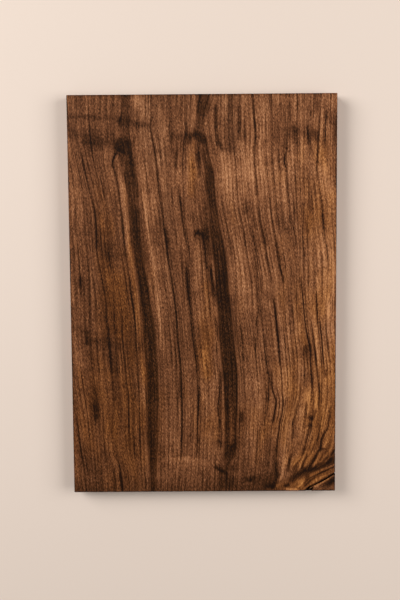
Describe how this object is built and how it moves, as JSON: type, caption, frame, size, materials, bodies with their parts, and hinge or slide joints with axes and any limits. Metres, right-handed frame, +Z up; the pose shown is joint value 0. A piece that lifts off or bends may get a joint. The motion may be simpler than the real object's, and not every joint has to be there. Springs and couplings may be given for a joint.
{
  "type": "walnut board",
  "caption": "Rectangular planed board of figured walnut with eased edges and a corner split, lying flat with its show face up.",
  "frame": {"origin": "middle of the underside, on the surface that the board lies on", "axes": "+X across the grain towards the split corner's edge, +Y along the grain towards the upper end, +Z up through the thickness towards the show face"},
  "size_m": [0.3048, 0.4572, 0.019],
  "materials": {
    "walnut": "sanded and oiled, satin, dark streaks along the grain"
  },
  "bodies": {
    "root": {"walnut_board": "walnut"}
  },
  "joints": []
}
